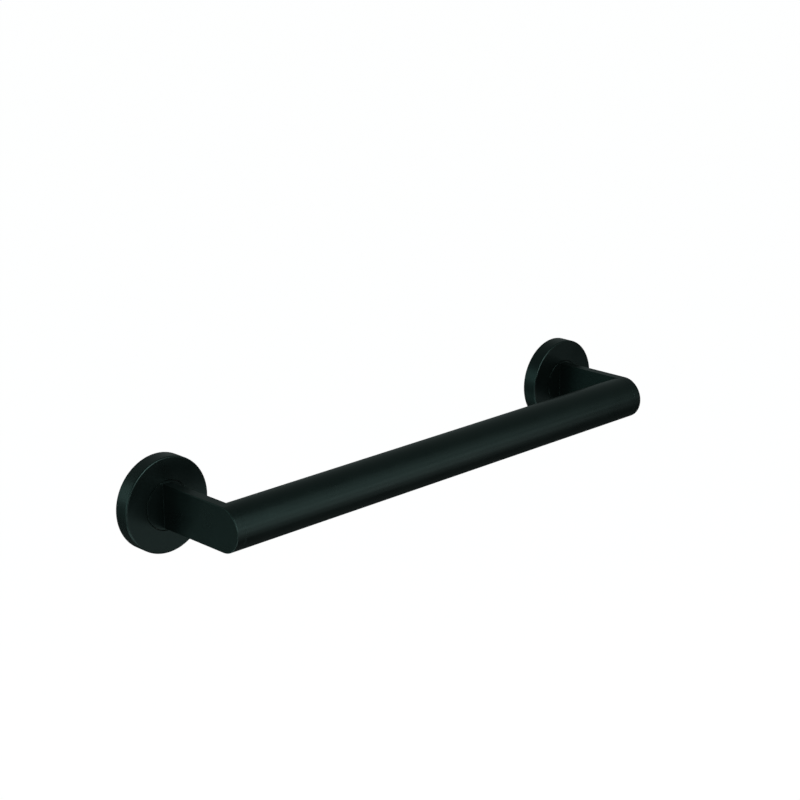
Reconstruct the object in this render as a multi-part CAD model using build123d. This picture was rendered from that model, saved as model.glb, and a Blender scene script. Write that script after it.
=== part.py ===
from build123d import *
import math
import os

# Grab bar for a shower or bath wall: a round tube carried by a flat arm at each end.
# Each arm stands on a round foot, and the foot's spigot plugs into a plate on the wall.
# A loose round rosette slides over the arm and hides the plate and its screws.
# Sizes are millimetres. The origin is on the wall, midway between the two fixings.
# +X runs along the tube to the right as seen from the room, +Y into the wall, +Z up.

# Layout
fixing_centres = 400.0
tube_axis_from_wall = 73.5

# Tube
tube_diameter = 32.0
tube_wall = 2.0
tube_end_chamfer = 0.15

# Arm: a flat plate as high as the tube, with a round nose that is flush with it
arm_thickness = 7.0
arm_edge_radius = 1.0
arm_joint_radius = 0.2
arm_root_radius = 0.5
plug_length = 25.0
plug_clearance = 0.1
plug_chamfer = 1.0

# Foot under the arm, and the spigot behind it
foot_rim = 0.8
foot_edge_chamfer = 0.3
hub_wall = 5.0
spigot_clearance = 0.1
spigot_end_gap = 1.0
spigot_chamfer = 0.8
notch_depth = 1.2

# Grub screws that bear in the spigot's notch from below
grub_diameter = 4.0
grub_length = 5.0
grub_tip_radius = 0.6
grub_end_chamfer = 0.3
grub_key_size = 2.0
grub_key_depth = 2.0
grub_land = 0.5
grub_clearance = 0.05
grub_seat_gap = 0.1
grub_count = 2
grub_spread_angle = 50.0

# Plate on the wall, with the sealing gasket behind it
plate_thickness = 3.5
gasket_thickness = 1.0
gasket_inset = 1.0
screw_hole_diameter = 6.5
screw_hole_count = 4
screw_hole_land = 3.0

# Rosette and the ring that holds it on the plate
rosette_wall = 1.5
rosette_face = 2.0
rosette_edge_radius = 1.0
rosette_inner_radius = 0.5
rosette_clearance = 0.3
rosette_shoulder = 0.5
ring_section = 2.0
ring_groove_depth = 1.5
ring_side_gap = 0.1

# Across the bar: tube, plug and arm
tube_radius = tube_diameter / 2
tube_bore_radius = tube_radius - tube_wall
plug_radius = tube_bore_radius - plug_clearance
arm_height = tube_diameter
tube_length = fixing_centres - arm_thickness

# Outwards from the fixing axis: foot, hub, screw holes, ring and rosette
foot_radius = math.hypot(arm_height, arm_thickness) / 2 + foot_rim
rosette_hole_radius = foot_radius + rosette_clearance
hub_radius = rosette_hole_radius + rosette_shoulder
spigot_radius = hub_radius - hub_wall
hub_bore_radius = spigot_radius + spigot_clearance
screw_hole_radius = screw_hole_diameter / 2
screw_circle_radius = hub_radius + screw_hole_land + screw_hole_radius
ring_groove_radius = screw_circle_radius + screw_hole_radius + screw_hole_land
plate_radius = ring_groove_radius + ring_groove_depth
gasket_radius = plate_radius - gasket_inset
rosette_bore_radius = ring_groove_radius + ring_section
rosette_radius = rosette_bore_radius + rosette_wall

# Outwards from the wall: gasket, plate, hub, rosette face and tube
wall_y = 0.0
gasket_front_y = wall_y - gasket_thickness
plate_front_y = gasket_front_y - plate_thickness
hub_front_y = plate_front_y - grub_diameter - 2 * grub_land
rosette_front_y = hub_front_y - rosette_face
tube_axis_y = wall_y - tube_axis_from_wall
ring_y = (gasket_front_y + plate_front_y) / 2
grub_y = (plate_front_y + hub_front_y) / 2
spigot_end_y = gasket_front_y - spigot_end_gap

# The notch and the screw's point are both cut at 45 degrees to their axes
notch_radius = spigot_radius - notch_depth
grub_tip_offset = notch_radius + grub_tip_radius + grub_seat_gap
grub_radius = grub_diameter / 2
grub_hole_radius = grub_radius + grub_clearance

# Cutting tools run past the surfaces that they cut by this much
cut_past = 1.0


# A closed outline of (radius, y) points, spun about the fixing axis
def turned(points, rounds=(), bevels=()):
    outline = make_face(Polyline(*points, close=True))
    for corner, radius in rounds:
        outline = fillet(outline.vertices().sort_by_distance(corner)[0], radius)
    for corner, length in bevels:
        outline = chamfer(outline.vertices().sort_by_distance(corner)[0], length)
    return revolve(outline, Axis.Y)


# Screw holes as a ring of cylinders, from the wall out past the given face
def screw_hole_cutters(front_y):
    depth = wall_y - front_y + 2 * cut_past
    middle_y = (wall_y + front_y) / 2
    hole = Cylinder(screw_hole_radius, depth)
    first_angle = 180 / screw_hole_count
    ring = PolarLocations(screw_circle_radius, screw_hole_count, start_angle=first_angle)
    return [Pos(0, middle_y, 0) * Rot(90, 0, 0) * spot * hole for spot in ring]


# Turns from straight down to each grub screw, about the fixing axis
def grub_turns():
    step = grub_spread_angle / max(grub_count - 1, 1)
    first = -grub_spread_angle / 2 if grub_count > 1 else 0
    return [Pos(0, grub_y, 0) * Rot(0, first + step * place, 0) for place in range(grub_count)]


def make_tube():
    outside = Cylinder(tube_radius, tube_length)
    bore = Cylinder(tube_bore_radius, tube_length + 2 * cut_past)
    ends = outside.edges().filter_by(GeomType.CIRCLE)
    return Pos(0, tube_axis_y, 0) * Rot(0, 90, 0) * (chamfer(ends, tube_end_chamfer) - bore)


def make_arm_plate():
    shank_length = rosette_front_y - tube_axis_y
    shank = Pos((rosette_front_y + tube_axis_y) / 2, 0) * Rectangle(shank_length, arm_height)
    nose = Pos(tube_axis_y, 0) * Circle(tube_radius)
    plate = extrude(Plane.YZ * (shank + nose), arm_thickness / 2, both=True)

    # The long edges are eased, and the end that stands on the foot stays square
    def eased_edges(solid, side):
        face = solid.faces().sort_by(Axis.X)[side]
        return [edge for edge in face.edges() if edge.center().Y < rosette_front_y - arm_edge_radius]

    plate = fillet(eased_edges(plate, -1), arm_edge_radius)
    return fillet(eased_edges(plate, 0), arm_joint_radius)


def make_foot():
    corner_of_face = (foot_radius, rosette_front_y)
    corner_of_spigot = (spigot_radius, spigot_end_y)
    points = [
        (0, rosette_front_y),
        corner_of_face,
        (foot_radius, hub_front_y),
        (spigot_radius, hub_front_y),
        (spigot_radius, grub_y - notch_depth),
        (notch_radius, grub_y),
        (spigot_radius, grub_y + notch_depth),
        corner_of_spigot,
        (0, spigot_end_y),
    ]
    bevels = [(corner_of_face, foot_edge_chamfer), (corner_of_spigot, spigot_chamfer)]
    return turned(points, bevels=bevels)


# The arm is one piece with its foot, its spigot and the plug that fills the tube's end
def make_arm():
    plate_and_foot = make_arm_plate() + make_foot()
    square_faces = plate_and_foot.faces().filter_by(Axis.Y)
    disc_face = min(square_faces, key=lambda face: abs(face.center().Y - rosette_front_y))
    body = fillet(disc_face.inner_wires()[0].edges(), arm_root_radius)
    plug = Cylinder(plug_radius, plug_length + arm_thickness / 2)
    plug = chamfer(plug.edges().sort_by(Axis.Z)[-1], plug_chamfer)
    middle_x = -(plug_length + arm_thickness / 2) / 2
    return body + Pos(middle_x, tube_axis_y, 0) * Rot(0, -90, 0) * plug


def make_rosette():
    front_corner = (rosette_radius, rosette_front_y)
    inner_corner = (rosette_bore_radius, hub_front_y)
    hole_corner = (rosette_hole_radius, rosette_front_y)
    points = [
        (rosette_radius, wall_y),
        front_corner,
        hole_corner,
        (rosette_hole_radius, hub_front_y),
        inner_corner,
        (rosette_bore_radius, wall_y),
    ]
    rounds = [(front_corner, rosette_edge_radius), (inner_corner, rosette_inner_radius)]
    return turned(points, rounds, [(hole_corner, foot_edge_chamfer)])


def make_wall_plate():
    groove_half_width = ring_section / 2 + ring_side_gap
    points = [
        (hub_bore_radius, gasket_front_y),
        (plate_radius, gasket_front_y),
        (plate_radius, ring_y + groove_half_width),
        (ring_groove_radius, ring_y + groove_half_width),
        (ring_groove_radius, ring_y - groove_half_width),
        (plate_radius, ring_y - groove_half_width),
        (plate_radius, plate_front_y),
        (hub_radius, plate_front_y),
        (hub_radius, hub_front_y),
        (hub_bore_radius, hub_front_y),
    ]
    reach = hub_radius + cut_past
    grub_hole = Pos(0, 0, -reach / 2) * Cylinder(grub_hole_radius, reach)
    grub_holes = [turn * grub_hole for turn in grub_turns()]
    return turned(points) - screw_hole_cutters(plate_front_y) - grub_holes


def make_gasket():
    middle_y = (wall_y + gasket_front_y) / 2
    disc = Pos(0, middle_y, 0) * Rot(90, 0, 0) * Cylinder(gasket_radius, gasket_thickness)
    return disc - screw_hole_cutters(gasket_front_y)


def make_ring():
    centre_radius = ring_groove_radius + ring_section / 2
    return Pos(0, ring_y, 0) * Rot(90, 0, 0) * Torus(centre_radius, ring_section / 2)


# One grub screw, pointing at the fixing axis from straight below before it is turned
def make_grub_screw():
    cone_length = grub_radius - grub_tip_radius
    points = [
        (0, 0),
        (grub_tip_radius, 0),
        (grub_radius, cone_length),
        (grub_radius, grub_length - grub_end_chamfer),
        (grub_radius - grub_end_chamfer, grub_length),
        (0, grub_length),
    ]
    body = turned(points)
    socket = RegularPolygon(grub_key_size / 2, 6, major_radius=False)
    socket_plane = Plane(origin=(0, grub_length, 0), z_dir=(0, -1, 0))
    body -= extrude(socket_plane * socket, grub_key_depth)
    return Pos(0, 0, -grub_tip_offset) * Rot(-90, 0, 0) * body


def write(name, piece):
    export_step(piece, f"parts/{name}.step")


# Both ends have the same pieces: the right ones are moved into place and the left mirrored
def write_both_ends(name, piece):
    right_piece = Pos(fixing_centres / 2, 0, 0) * piece
    write(f"right_{name}", right_piece)
    write(f"left_{name}", mirror(right_piece, about=Plane.YZ))


os.makedirs("parts", exist_ok=True)
write("bar_tube", make_tube())
write_both_ends("arm", make_arm())
write_both_ends("rosette", make_rosette())
write_both_ends("wall_plate", make_wall_plate())
write_both_ends("wall_gasket", make_gasket())
write_both_ends("rosette_ring", make_ring())
for number, turn in enumerate(grub_turns(), start=1):
    write_both_ends(f"grub_screw_{number}", turn * make_grub_screw())
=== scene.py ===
import math

import bmesh
import bpy
from mathutils import Matrix, Vector


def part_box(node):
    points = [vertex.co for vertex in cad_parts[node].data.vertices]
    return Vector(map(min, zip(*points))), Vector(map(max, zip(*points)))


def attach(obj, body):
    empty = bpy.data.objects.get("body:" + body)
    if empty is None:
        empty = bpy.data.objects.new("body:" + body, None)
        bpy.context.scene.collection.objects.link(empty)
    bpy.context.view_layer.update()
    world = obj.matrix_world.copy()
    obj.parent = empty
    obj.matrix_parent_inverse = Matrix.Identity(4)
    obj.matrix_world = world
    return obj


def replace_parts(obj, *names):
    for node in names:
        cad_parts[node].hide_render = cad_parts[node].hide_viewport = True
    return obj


# Grab bar: a black coated tube between two flat arms, each standing on a round rosette.
# Metres, in the frame of the CAD model: +X along the tube, +Y into the wall, +Z up.

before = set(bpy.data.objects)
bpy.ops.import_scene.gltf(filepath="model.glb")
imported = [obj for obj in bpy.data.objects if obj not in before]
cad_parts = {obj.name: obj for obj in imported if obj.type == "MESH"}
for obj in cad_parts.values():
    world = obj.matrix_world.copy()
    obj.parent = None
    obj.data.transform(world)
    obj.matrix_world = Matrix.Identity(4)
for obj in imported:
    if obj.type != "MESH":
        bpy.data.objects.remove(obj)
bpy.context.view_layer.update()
print("frame loaded:", len(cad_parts), "nodes")


# Camera

camera = {
    "place": (-0.8947, -0.9595, 0.4341),
    "pan": 43.87,  # degrees to the right of square to the wall
    "tilt": -17.27,  # degrees up, so this looks down
    "roll": -0.62,  # degrees
    "lens": 83.44,  # millimetres, as the sensor's width is
    "sensor": 36.0,
    "nearest": 0.05,  # nothing nearer or further than these is drawn
    "furthest": 60.0,
}


def makeCamera():
    data = bpy.data.cameras.new("roomCamera")
    data.sensor_width = camera["sensor"]
    data.lens = camera["lens"]
    data.clip_start, data.clip_end = camera["nearest"], camera["furthest"]
    eye = bpy.data.objects.new("roomCamera", data)
    turn = Matrix.Rotation(-math.radians(camera["pan"]), 4, "Z")
    turn @= Matrix.Rotation(math.radians(90 + camera["tilt"]), 4, "X")
    turn @= Matrix.Rotation(math.radians(camera["roll"]), 4, "Z")
    eye.matrix_world = Matrix.Translation(camera["place"]) @ turn
    bpy.context.scene.collection.objects.link(eye)
    bpy.context.scene.camera = eye


makeCamera()
print("camera placed")


# Places and sizes that the pieces take from the frame, read at the right end

rosetteLow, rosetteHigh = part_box("right_rosette")
armLow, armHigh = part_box("right_arm")
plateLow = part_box("right_wall_plate")[0]
screwLow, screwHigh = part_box("right_grub_screw_1")
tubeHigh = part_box("bar_tube")[1]

fixingX = (rosetteLow.x + rosetteHigh.x) / 2
rosetteRadius = rosetteHigh.z
rosetteFrontY = rosetteLow.y
hubFrontY = plateLow.y
screwY = (screwLow.y + screwHigh.y) / 2
footRadius = armHigh.z
tubeRadius = tubeHigh.z
tubeAxisY = armLow.y + tubeRadius
fixingAxis = Vector((fixingX, 0, 0))
tubeAxis = Vector((fixingX, tubeAxisY, 0))


# Node groups that several finishes share

# Adds a node, sets its properties, then fills its sockets with numbers or other nodes' outputs
def addNode(tree, kind, sockets=(), **properties):
    node = tree.nodes.new(kind)
    for key, value in properties.items():
        setattr(node, key, value)
    for key, value in dict(sockets).items():
        if isinstance(value, bpy.types.NodeSocket):
            tree.links.new(value, node.inputs[key])
        else:
            node.inputs[key].default_value = value
    return node


def newGroup(name, inputs, output):
    group = bpy.data.node_groups.new(name, "ShaderNodeTree")
    for label in inputs:
        kind = "NodeSocketVector" if label == "Vector" else "NodeSocketFloat"
        group.interface.new_socket(label, in_out="INPUT", socket_type=kind)
    group.interface.new_socket(output, in_out="OUTPUT", socket_type="NodeSocketFloat")
    given = group.nodes.new("NodeGroupInput").outputs
    result = group.nodes.new("NodeGroupOutput").inputs
    return group, given, result


# Soft uneven patches, from the value Low to the value High
def makeMottle():
    group, given, result = newGroup("mottle", ("Vector", "Scale", "Detail", "Low", "High"), "Value")
    noise = addNode(group, "ShaderNodeTexNoise", {
        "Vector": given["Vector"], "Scale": given["Scale"], "Detail": given["Detail"],
    })
    spread = addNode(group, "ShaderNodeMapRange", {
        "Value": noise.outputs["Fac"],
        "From Min": 0.3, "From Max": 0.7,  # where most of the noise lies
        "To Min": given["Low"], "To Max": given["High"],
    })
    group.links.new(spread.outputs["Result"], result["Value"])
    return group


# Height of a sprayed or moulded skin: low waves that carry a finer grain
def makeSkinGrain():
    group, given, result = newGroup(
        "skinGrain", ("Vector", "Wave Scale", "Grain Scale", "Grain Share"), "Height",
    )
    waves = addNode(group, "ShaderNodeTexNoise", {
        "Vector": given["Vector"], "Scale": given["Wave Scale"], "Detail": 1.0,
    })
    grain = addNode(group, "ShaderNodeTexNoise", {
        "Vector": given["Vector"], "Scale": given["Grain Scale"], "Detail": 2.0,
    })
    height = addNode(group, "ShaderNodeMath", {
        0: grain.outputs["Fac"], 1: given["Grain Share"], 2: waves.outputs["Fac"],
    }, operation="MULTIPLY_ADD")
    group.links.new(height.outputs["Value"], result["Height"])
    return group


# Distance from the nearer fixing's axis, about which the hidden metal pieces are turned
def makeTurnedRadius():
    group, given, result = newGroup("turnedRadius", ("Vector", "Fixing X"), "Radius")
    place = addNode(group, "ShaderNodeSeparateXYZ", {"Vector": given["Vector"]}).outputs
    side = addNode(group, "ShaderNodeMath", {0: place["X"]}, operation="ABSOLUTE")
    across = addNode(group, "ShaderNodeMath", {
        0: side.outputs["Value"], 1: given["Fixing X"],
    }, operation="SUBTRACT")
    flat = addNode(group, "ShaderNodeCombineXYZ", {"X": across.outputs["Value"], "Y": place["Z"]})
    radius = addNode(group, "ShaderNodeVectorMath", {0: flat.outputs["Vector"]}, operation="LENGTH")
    group.links.new(radius.outputs["Value"], result["Radius"])
    return group


mottle = makeMottle()
skinGrain = makeSkinGrain()
turnedRadius = makeTurnedRadius()


# Steps that the finishes are made of

# A new material, its shader's sockets, and the place on the piece that its patterns follow
def newFinish(name):
    material = bpy.data.materials.new(name)
    material.use_nodes = True
    tree = material.node_tree
    place = addNode(tree, "ShaderNodeTexCoord").outputs["Object"]
    return material, tree, tree.nodes["Principled BSDF"].inputs, place


# Colour that drifts between two tones
def driftColour(tree, surface, place, finish):
    patches = addNode(tree, "ShaderNodeGroup", {
        "Vector": place, "Scale": finish["patchScale"], "Detail": 3.0, "Low": 0.0, "High": 1.0,
    }, node_tree=mottle)
    tones = addNode(tree, "ShaderNodeValToRGB", {"Fac": patches.outputs["Value"]})
    for stop, tone in zip(tones.color_ramp.elements, ("darkTone", "lightTone")):
        stop.color = (*finish[tone], 1)
    tree.links.new(tones.outputs["Color"], surface["Base Color"])


def driftRoughness(tree, surface, place, finish):
    patches = addNode(tree, "ShaderNodeGroup", {
        "Vector": place, "Scale": finish["sheenScale"], "Detail": 2.0,
        "Low": finish["smoothest"], "High": finish["roughest"],
    }, node_tree=mottle)
    tree.links.new(patches.outputs["Value"], surface["Roughness"])


def raiseHeight(tree, surface, height, depth):
    bump = addNode(tree, "ShaderNodeBump", {"Height": height, "Distance": depth})
    tree.links.new(bump.outputs["Normal"], surface["Normal"])


def raiseSkin(tree, surface, place, finish):
    grain = addNode(tree, "ShaderNodeGroup", {
        "Vector": place, "Wave Scale": finish["waveScale"], "Grain Scale": finish["grainScale"],
        "Grain Share": finish["grainShare"],
    }, node_tree=skinGrain)
    raiseHeight(tree, surface, grain.outputs["Height"], finish["depth"])


def radiusOnPiece(tree, place):
    sockets = {"Vector": place, "Fixing X": fixingX}
    return addNode(tree, "ShaderNodeGroup", sockets, node_tree=turnedRadius).outputs["Radius"]


# In each finish, scales are about how many features there are to a metre

# Black powder coat on tube, arms and rosettes

blackCoatFinish = {
    "darkTone": (0.0008, 0.0012, 0.0011),
    "lightTone": (0.0014, 0.0021, 0.0019),
    "patchScale": 24.0,
    "gloss": 0.4,  # 0.5 is plain plastic
    "glossTint": (0.58, 1.0, 0.93),  # the coat's sheen is cool
    "smoothest": 0.27,
    "roughest": 0.33,
    "sheenScale": 60.0,
    "waveScale": 420.0,
    "grainScale": 2600.0,
    "grainShare": 0.12,  # height of the grain, where the waves' is 1
    "depth": 0.000005,
}


def makeBlackCoat():
    material, tree, surface, place = newFinish("blackCoat")
    driftColour(tree, surface, place, blackCoatFinish)
    driftRoughness(tree, surface, place, blackCoatFinish)
    raiseSkin(tree, surface, place, blackCoatFinish)
    surface["Specular IOR Level"].default_value = blackCoatFinish["gloss"]
    surface["Specular Tint"].default_value = (*blackCoatFinish["glossTint"], 1)
    return material


# Turned steel of the wall plates, dark all over: painted shade for the hub that shows through the
# gap round each arm's foot

turnedSteelFinish = {
    # These dark tones are painted shade for the hub seen through the gap
    "darkTone": (0.050, 0.050, 0.048),
    "lightTone": (0.070, 0.070, 0.068),
    "patchScale": 60.0,
    "ringScale": 5200.0,  # of the turning marks
    "smoothest": 0.24,
    "roughest": 0.42,
    "depth": 0.00001,
}


def makeTurnedSteel():
    material, tree, surface, place = newFinish("turnedSteel")
    driftColour(tree, surface, place, turnedSteelFinish)
    marks = addNode(tree, "ShaderNodeTexNoise", {
        "W": radiusOnPiece(tree, place), "Scale": turnedSteelFinish["ringScale"], "Detail": 3.0,
    }, noise_dimensions="1D").outputs["Fac"]
    sheen = addNode(tree, "ShaderNodeMapRange", {
        "Value": marks,
        "To Min": turnedSteelFinish["smoothest"],
        "To Max": turnedSteelFinish["roughest"],
    })
    tree.links.new(sheen.outputs["Result"], surface["Roughness"])
    raiseHeight(tree, surface, marks, turnedSteelFinish["depth"])
    surface["Metallic"].default_value = 1
    return material


# Steel of the grub screws, with their thread as bump

screwSteelFinish = {
    "darkTone": (0.37, 0.37, 0.37),
    "lightTone": (0.47, 0.47, 0.47),
    "patchScale": 300.0,
    "smoothest": 0.3,
    "roughest": 0.45,
    "sheenScale": 900.0,
    "threadPitch": 0.0007,
    "depth": 0.0002,
}


# The thread's height rises over half a pitch and falls over the other half
def makeScrewSteel():
    material, tree, surface, place = newFinish("screwSteel")
    driftColour(tree, surface, place, screwSteelFinish)
    driftRoughness(tree, surface, place, screwSteelFinish)
    turns = addNode(tree, "ShaderNodeMath", {
        0: radiusOnPiece(tree, place), 1: screwSteelFinish["threadPitch"],
    }, operation="DIVIDE")
    thread = addNode(tree, "ShaderNodeMath", {
        0: turns.outputs["Value"], 1: 0.5,
    }, operation="PINGPONG")
    raiseHeight(tree, surface, thread.outputs["Value"], screwSteelFinish["depth"])
    surface["Metallic"].default_value = 1
    return material


# Moulded rubber of the rings that hold the rosettes

ringRubberFinish = {
    "darkTone": (0.020, 0.020, 0.020),
    "lightTone": (0.030, 0.030, 0.030),
    "patchScale": 150.0,
    "smoothest": 0.5,
    "roughest": 0.62,
    "sheenScale": 400.0,
    "waveScale": 700.0,
    "grainScale": 5000.0,
    "grainShare": 0.3,
    "depth": 0.00001,
}

# Closed-cell foam rubber of the gaskets on the wall

gasketFoamFinish = {
    "darkTone": (0.07, 0.07, 0.07),
    "lightTone": (0.11, 0.11, 0.11),
    "patchScale": 400.0,
    "smoothest": 0.85,
    "roughest": 0.95,
    "sheenScale": 300.0,
    "waveScale": 900.0,
    "grainScale": 2400.0,
    "grainShare": 0.8,
    "depth": 0.00006,
}


def makeRubber(name, finish):
    material, tree, surface, place = newFinish(name)
    driftColour(tree, surface, place, finish)
    driftRoughness(tree, surface, place, finish)
    raiseSkin(tree, surface, place, finish)
    return material


blackCoat = makeBlackCoat()
turnedSteel = makeTurnedSteel()
screwSteel = makeScrewSteel()
finishOfNode = {
    "wall_plate": turnedSteel,
    "grub_screw_1": screwSteel,
    "grub_screw_2": screwSteel,
    "rosette_ring": makeRubber("ringRubber", ringRubberFinish),
    "wall_gasket": makeRubber("gasketFoam", gasketFoamFinish),
}
for end in ("left", "right"):
    for part, material in finishOfNode.items():
        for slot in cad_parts[f"{end}_{part}"].material_slots:
            slot.material = material
print("finishes made and given to the pieces behind the rosettes")


# Mesh steps that several pieces share

meshing = {
    "weld": 1e-7,  # corners closer than this become one
    "near": 2e-6,  # places closer than this count as the same
    "cornerFrom": 60,  # degrees between two faces, for a corner that gets a fillet
    "sharpFrom": 35,  # degrees between two faces, for an edge that is shaded as sharp
}


# Spins a chain of (along, out) points all the way round the tube's axis or the right fixing's
def turnProfile(bm, points, about, steps, closed=False):
    if about == "tube":
        corners = [bm.verts.new((along, tubeAxisY + out, 0)) for along, out in points]
        centre, axis = tubeAxis, (1, 0, 0)
    else:
        corners = [bm.verts.new((fixingX + out, along, 0)) for along, out in points]
        centre, axis = fixingAxis, (0, 1, 0)
    ends = corners[1:] + corners[:1] if closed else corners[1:]
    chain = [bm.edges.new(pair) for pair in zip(corners, ends)]
    bmesh.ops.spin(
        bm, geom=corners + chain, cent=centre, axis=axis, angle=math.radians(360),
        steps=steps, use_merge=True,
    )
    bmesh.ops.remove_doubles(bm, verts=bm.verts, dist=meshing["weld"])


# The ring of edges at one (along, out) place of a turned shape
def ringAt(bm, along, out, about):
    near = meshing["near"]

    def onRing(vert):
        if about == "tube":
            place, reach = vert.co.x, math.hypot(vert.co.y - tubeAxisY, vert.co.z)
        else:
            place, reach = vert.co.y, math.hypot(vert.co.x - fixingX, vert.co.z)
        return abs(place - along) < near and abs(reach - out) < near

    return [edge for edge in bm.edges if all(onRing(vert) for vert in edge.verts)]


# Whether an edge or a face lies square to X (way 0) or Y (way 1), at that place along it
def liesAt(item, way, place):
    return all(abs(vert.co[way] - place) < meshing["near"] for vert in item.verts)


# Fills the flat ring between the open loops that lie at such a place
def fillRing(bm, way, place):
    loops = [edge for edge in bm.edges if len(edge.link_faces) == 1 and liesAt(edge, way, place)]
    normal = (-1, 0, 0) if way == 0 else (0, -1, 0)
    bmesh.ops.triangle_fill(bm, edges=loops, use_beauty=True, normal=normal)


def roundEdges(bm, edges, radius, segments):
    bmesh.ops.bevel(
        bm, geom=edges, offset=radius, offset_type="OFFSET", segments=segments,
        profile=0.5, affect="EDGES", material=-1, clamp_overlap=True,
    )


# Turns a bmesh into a coated piece that rides with the CAD; the left end mirrors the right
def finishPiece(bm, name, end="right"):
    if end == "left":
        bmesh.ops.scale(bm, vec=(-1, 1, 1), verts=bm.verts)
    bmesh.ops.remove_doubles(bm, verts=bm.verts, dist=meshing["weld"])
    bmesh.ops.recalc_face_normals(bm, faces=bm.faces)
    openCount = sum(1 for edge in bm.edges if len(edge.link_faces) != 2)
    mesh = bpy.data.meshes.new(name)
    bm.to_mesh(mesh)
    bm.free()
    mesh.shade_smooth()
    mesh.set_sharp_from_angle(angle=math.radians(meshing["sharpFrom"]))
    mesh.materials.append(blackCoat)
    piece = bpy.data.objects.new(name, mesh)
    bpy.context.scene.collection.objects.link(piece)
    evenShade = piece.modifiers.new("evenShade", "WEIGHTED_NORMAL")
    evenShade.keep_sharp = True
    evenShade.weight = 100  # large faces decide, so flats stay flat beside their rounded edges
    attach(piece, "root")
    print(name, "made:", len(mesh.polygons), "faces,", openCount, "open edges")
    return piece


# Tube

tube = {
    "wall": 0.002,
    "endChamfer": 0.00012,
    "softness": 0.00003,  # rounding of the chamfer's own edges
    "softSegments": 2,
    "steps": 160,
}


def makeTube():
    bm = bmesh.new()
    endX = tubeHigh.x
    shoulderX = endX - tube["endChamfer"]
    chamferRadius = tubeRadius - tube["endChamfer"]
    boreRadius = tubeRadius - tube["wall"]
    outline = [
        (-shoulderX, tubeRadius), (shoulderX, tubeRadius), (endX, chamferRadius),
        (endX, boreRadius), (-endX, boreRadius), (-endX, chamferRadius),
    ]
    turnProfile(bm, outline, "tube", tube["steps"], closed=True)
    sharp = []
    for side in (-1, 1):
        sharp += ringAt(bm, side * shoulderX, tubeRadius, "tube")
        sharp += ringAt(bm, side * endX, chamferRadius, "tube")
    roundEdges(bm, sharp, tube["softness"], tube["softSegments"])
    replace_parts(finishPiece(bm, "tubeSkin"), "bar_tube")


# Arms: plate with a round nose, foot and spigot behind it, plug that fills the tube's end

arm = {
    "outerEdge": 0.0006,  # radius of the edges away from the tube
    "innerEdge": 0.0001,  # and of those next to it
    "edgeSegments": 6,
    "noseSteps": 64,
    "rootFillet": 0.00008,
    "rootSegments": 4,
    "rootMargin": 0.00002,  # clear of the fillet, up to the joint with the foot
    "footChamfer": 0.00008,
    "spigotRadius": 0.012978,
    "spigotChamfer": 0.0008,
    "notchDepth": 0.0012,
    "plugRadius": 0.0139,
    "plugChamfer": 0.001,
    "turnSteps": 128,
}

innerX = tubeHigh.x  # the side of the plate that the tube's end stands against
outerX = 2 * fixingX - innerX


# The plate's section where it stands on the foot, inside a border for the root fillet, and
# cut level with the tube's axis
def drawRootSection(bm):
    border = arm["rootFillet"] + arm["rootMargin"]
    section = bmesh.ops.create_grid(bm, x_segments=1, y_segments=1, size=0.5)["verts"]  # 1 m square
    size = (outerX - innerX + 2 * border, 2 * (tubeRadius + border), 1)
    upright = Matrix.Rotation(math.radians(90), 3, "X")
    bmesh.ops.scale(bm, vec=size, verts=section)
    bmesh.ops.rotate(bm, cent=(0, 0, 0), matrix=upright, verts=section)
    bmesh.ops.translate(bm, vec=(fixingX, rosetteFrontY, 0), verts=section)
    for edgeRadius, corners in (
        (arm["outerEdge"], [vert for vert in section if vert.co.x > fixingX]),
        (arm["innerEdge"], [vert for vert in section if vert.co.x < fixingX]),
    ):
        bmesh.ops.bevel(
            bm, geom=corners, offset=edgeRadius + border, offset_type="OFFSET",
            segments=arm["edgeSegments"], profile=0.5, affect="VERTICES", material=-1,
        )
    bmesh.ops.inset_region(
        bm, faces=list(bm.faces), thickness=border, use_even_offset=True, use_boundary=True,
    )
    bmesh.ops.bisect_plane(
        bm, geom=list(bm.verts) + list(bm.edges) + list(bm.faces), dist=meshing["weld"],
        plane_co=(0, 0, 0), plane_no=(0, 0, 1),
    )


# The section's middle grows out to the tube's axis and is left open there
def growPlate(bm):
    middle = [face for face in bm.faces if all(len(edge.link_faces) == 2 for edge in face.edges)]
    borders = [edge for edge in bm.edges if any(face in middle for face in edge.link_faces)]
    grown = bmesh.ops.extrude_face_region(bm, geom=middle + borders)["geom"]
    tips = [item for item in grown if isinstance(item, bmesh.types.BMVert)]
    caps = [item for item in grown if isinstance(item, bmesh.types.BMFace)]
    bmesh.ops.translate(bm, vec=(0, tubeAxisY - rosetteFrontY, 0), verts=tips)
    bmesh.ops.delete(bm, geom=caps, context="FACES")
    return tips


def filletRoot(bm):
    bm.normal_update()
    least = math.radians(meshing["cornerFrom"])
    inside = [edge for edge in bm.edges if len(edge.link_faces) == 2]
    atRoot = [edge for edge in inside if liesAt(edge, 1, rosetteFrontY)]
    corner = [edge for edge in atRoot if edge.calc_face_angle() > least]
    roundEdges(bm, corner, arm["rootFillet"], arm["rootSegments"])


# The upper half of the open rim swings down round the tube's axis and meets the lower half
def swingNose(bm, tips):
    upper = [vert for vert in tips if vert.co.z > -meshing["near"]]
    rim = [edge for edge in bm.edges if all(vert in upper for vert in edge.verts)]
    bmesh.ops.spin(
        bm, geom=upper + rim, cent=tubeAxis, axis=(1, 0, 0), angle=math.radians(180),
        steps=arm["noseSteps"],
    )
    bmesh.ops.remove_doubles(bm, verts=bm.verts, dist=meshing["near"])


def sideFaces(bm, x):
    return [face for face in bm.faces if liesAt(face, 0, x)]


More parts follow.
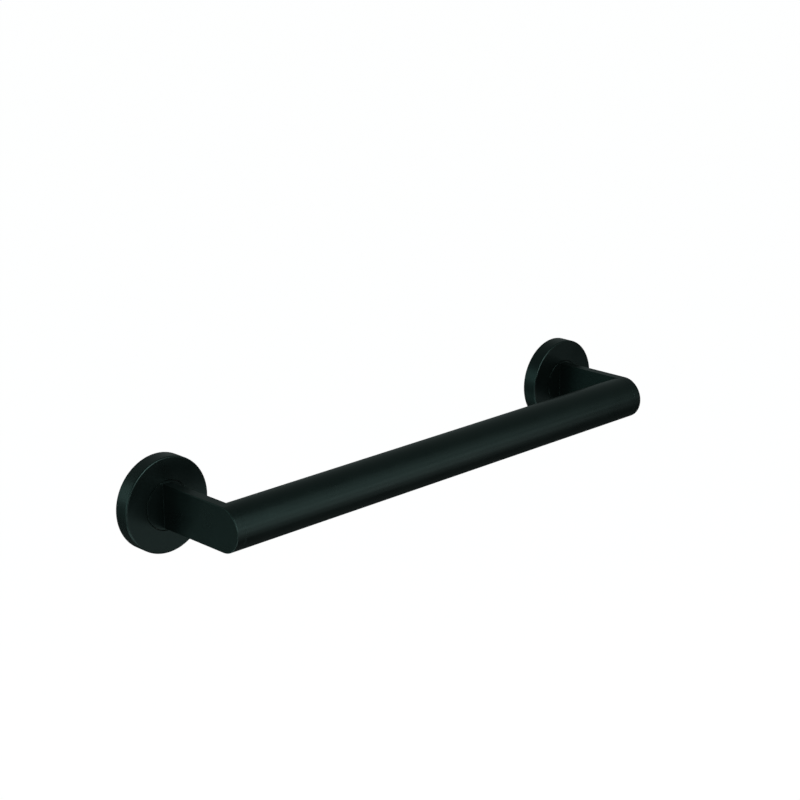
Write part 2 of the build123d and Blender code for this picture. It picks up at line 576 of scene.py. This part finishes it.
# The side next to the tube is opened, and filled again round the plug, which has a closed tip
def addPlug(bm):
    bmesh.ops.delete(bm, geom=sideFaces(bm, innerX), context="FACES")
    tipX = armLow.x
    radius, chamfer = arm["plugRadius"], arm["plugChamfer"]
    outline = [(innerX, radius), (tipX + chamfer, radius), (tipX, radius - chamfer), (tipX, 0)]
    turnProfile(bm, outline, "tube", arm["turnSteps"])
    fillRing(bm, 0, innerX)


# Foot, spigot with the grub screws' notch, and chamfered end, joined to the section's border
def addFoot(bm):
    endY = armHigh.y
    radius, notch, chamfer = arm["spigotRadius"], arm["notchDepth"], arm["spigotChamfer"]
    outline = [
        (rosetteFrontY, footRadius - arm["footChamfer"]),
        (rosetteFrontY + arm["footChamfer"], footRadius),
        (hubFrontY, footRadius), (hubFrontY, radius),
        (screwY - notch, radius), (screwY, radius - notch), (screwY + notch, radius),
        (endY - chamfer, radius), (endY, radius - chamfer), (endY, 0),
    ]
    turnProfile(bm, outline, "fixing", arm["turnSteps"])
    fillRing(bm, 1, rosetteFrontY)


def makeArm(end):
    bm = bmesh.new()
    drawRootSection(bm)
    tips = growPlate(bm)
    filletRoot(bm)
    swingNose(bm, tips)
    bmesh.ops.dissolve_faces(bm, faces=sideFaces(bm, outerX), use_verts=True)
    addPlug(bm)
    addFoot(bm)
    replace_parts(finishPiece(bm, f"{end}ArmSkin", end), f"{end}_arm")


# Rosettes

rosette = {
    "wall": 0.0015,
    "frontRadius": 0.001,
    "frontSegments": 8,
    "innerRadius": 0.0005,
    "innerSegments": 4,
    "holeGap": 0.0003,  # all round the arm's foot
    "holeChamfer": 0.0003,
    "steps": 192,
}


def makeRosette(end):
    bm = bmesh.new()
    holeRadius = footRadius + rosette["holeGap"]
    boreRadius = rosetteRadius - rosette["wall"]
    outline = [
        (rosetteHigh.y, rosetteRadius), (rosetteFrontY, rosetteRadius),
        (rosetteFrontY, holeRadius + rosette["holeChamfer"]),
        (rosetteFrontY + rosette["holeChamfer"], holeRadius),
        (hubFrontY, holeRadius), (hubFrontY, boreRadius), (rosetteHigh.y, boreRadius),
    ]
    turnProfile(bm, outline, "fixing", rosette["steps"], closed=True)
    front = ringAt(bm, rosetteFrontY, rosetteRadius, "fixing")
    roundEdges(bm, front, rosette["frontRadius"], rosette["frontSegments"])
    inner = ringAt(bm, hubFrontY, boreRadius, "fixing")
    roundEdges(bm, inner, rosette["innerRadius"], rosette["innerSegments"])
    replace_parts(finishPiece(bm, f"{end}RosetteSkin", end), f"{end}_rosette")


makeTube()
for end in ("left", "right"):
    makeArm(end)
    makeRosette(end)
print("coated pieces made")


# Floor

floor = {
    "z": -1.3,
    "radius": 30.0,
    "sides": 64,
    "darkTone": (0.140, 0.145, 0.145),
    "lightTone": (0.150, 0.155, 0.155),
    "patchScale": 3.0,
    "smoothest": 0.85,
    "roughest": 0.95,
    "sheenScale": 9.0,
    "waveScale": 30.0,
    "grainScale": 400.0,
    "grainShare": 0.3,
    "depth": 0.0002,
    "white": 0.98,  # what the camera sees of it besides the light that falls on it
}


def makeFloor():
    bm = bmesh.new()
    bmesh.ops.create_circle(bm, cap_ends=True, radius=floor["radius"], segments=floor["sides"])
    bmesh.ops.translate(bm, vec=(0, 0, floor["z"]), verts=bm.verts)
    mesh = bpy.data.meshes.new("floor")
    bm.to_mesh(mesh)
    bm.free()
    ground = bpy.data.objects.new("floor", mesh)
    bpy.context.scene.collection.objects.link(ground)
    material, tree, surface, place = newFinish("floorPaint")
    driftColour(tree, surface, place, floor)
    driftRoughness(tree, surface, place, floor)
    raiseSkin(tree, surface, place, floor)
    surface["Specular IOR Level"].default_value = 0
    surface["Emission Color"].default_value = (1, 1, 1, 1)
    path = addNode(tree, "ShaderNodeLightPath")
    seen = addNode(tree, "ShaderNodeMath", {
        0: path.outputs["Is Camera Ray"], 1: floor["white"],
    }, operation="MULTIPLY")
    tree.links.new(seen.outputs["Value"], surface["Emission Strength"])
    mesh.materials.append(material)


# Room

plainTint = (1.0, 1.0, 1.0)
coolTint = (0.7, 1.0, 0.95)

room = {
    "glow": 0.12,  # light that the room gives by itself
    "tint": coolTint,
    "mirrored": 0.06,  # share of the white surroundings that shows in reflections
}


# The camera and glass see plain white, reflections a share of it, all else the dim glow
def makeRoom():
    world = bpy.data.worlds.new("room")
    bpy.context.scene.world = world
    world.use_nodes = True
    tree = world.node_tree
    tree.nodes.clear()
    path = addNode(tree, "ShaderNodeLightPath").outputs
    mirrored = addNode(tree, "ShaderNodeMath", {
        0: path["Is Glossy Ray"], 1: room["mirrored"],
    }, operation="MULTIPLY")
    through = addNode(tree, "ShaderNodeMath", {
        0: path["Is Camera Ray"], 1: path["Is Transmission Ray"],
    }, operation="MAXIMUM")
    seen = addNode(tree, "ShaderNodeMath", {
        0: mirrored.outputs["Value"], 1: through.outputs["Value"],
    }, operation="MAXIMUM")
    dim = addNode(tree, "ShaderNodeBackground", {
        "Color": (*room["tint"], 1), "Strength": room["glow"],
    })
    white = addNode(tree, "ShaderNodeBackground", {"Color": (1, 1, 1, 1), "Strength": 1.0})
    mix = addNode(tree, "ShaderNodeMixShader", {
        0: seen.outputs["Value"], 1: dim.outputs["Background"], 2: white.outputs["Background"],
    })
    addNode(tree, "ShaderNodeOutputWorld", {"Surface": mix.outputs["Shader"]})


# Lamps

lampDistance = 1.5
lampSizes = {"square": (0.75, 0.75), "tall": (0.4, 1.8), "wide": (1.2, 0.6)}  # width, height

# Seen from the bar: degrees to the right of straight out into the room, degrees up, and watts
lamps = {
    "front": {"right": 0, "up": 15, "size": "square", "power": 8.8, "tint": plainTint},
    "frontLow": {"right": 0, "up": -20, "size": "square", "power": 2.0, "tint": plainTint},
    "frontHigh": {"right": 5, "up": 45, "size": "square", "power": 4.5, "tint": plainTint},
    "stripLow": {"right": 38, "up": -26, "size": "square", "power": 0.42, "tint": plainTint},
    "stripMiddle": {"right": 34, "up": -8, "size": "square", "power": 1.0, "tint": plainTint},
    "stripHigh": {"right": 34, "up": 10, "size": "square", "power": 0.55, "tint": plainTint},
    "stripTop": {"right": 38, "up": 28, "size": "square", "power": 0.45, "tint": plainTint},
    "edgeStrip": {"right": -52, "up": -4, "size": "tall", "power": 3.4, "tint": plainTint},
    "edgeStripSide": {"right": -80, "up": -4, "size": "tall", "power": 3.4, "tint": plainTint},
    "edgeStripLow": {"right": -32, "up": -52, "size": "wide", "power": 4.6, "tint": plainTint},
    "left": {"right": -105, "up": 0, "size": "square", "power": 2.3, "tint": coolTint},
    "leftBehind": {"right": -125, "up": -15, "size": "square", "power": 0.32, "tint": coolTint},
    "leftBehindHigh": {"right": -125, "up": 15, "size": "square", "power": 1.1, "tint": coolTint},
    "leftBehindLow": {"right": -120, "up": -45, "size": "square", "power": 3.0, "tint": coolTint},
    "behind": {"right": -165, "up": 5, "size": "square", "power": 2.2, "tint": coolTint},
}


def makeLamps():
    middle = Vector((0, tubeAxisY / 2, 0))
    for name, lamp in lamps.items():
        data = bpy.data.lights.new(name, "AREA")
        data.shape = "RECTANGLE"
        data.size, data.size_y = lampSizes[lamp["size"]]
        data.energy = lamp["power"]
        data.color = lamp["tint"]
        right, up = math.radians(lamp["right"]), math.radians(lamp["up"])
        level = math.cos(up)
        out = Vector((math.sin(right) * level, -math.cos(right) * level, math.sin(up)))
        aim = (-out).to_track_quat("-Z", "Y").to_matrix().to_4x4()
        light = bpy.data.objects.new(name, data)
        light.matrix_world = Matrix.Translation(middle + out * lampDistance) @ aim
        light.visible_camera = False
        bpy.context.scene.collection.objects.link(light)


makeFloor()
makeRoom()
makeLamps()
bpy.context.scene.view_settings.view_transform = "Standard"
print("floor, room and lamps made")
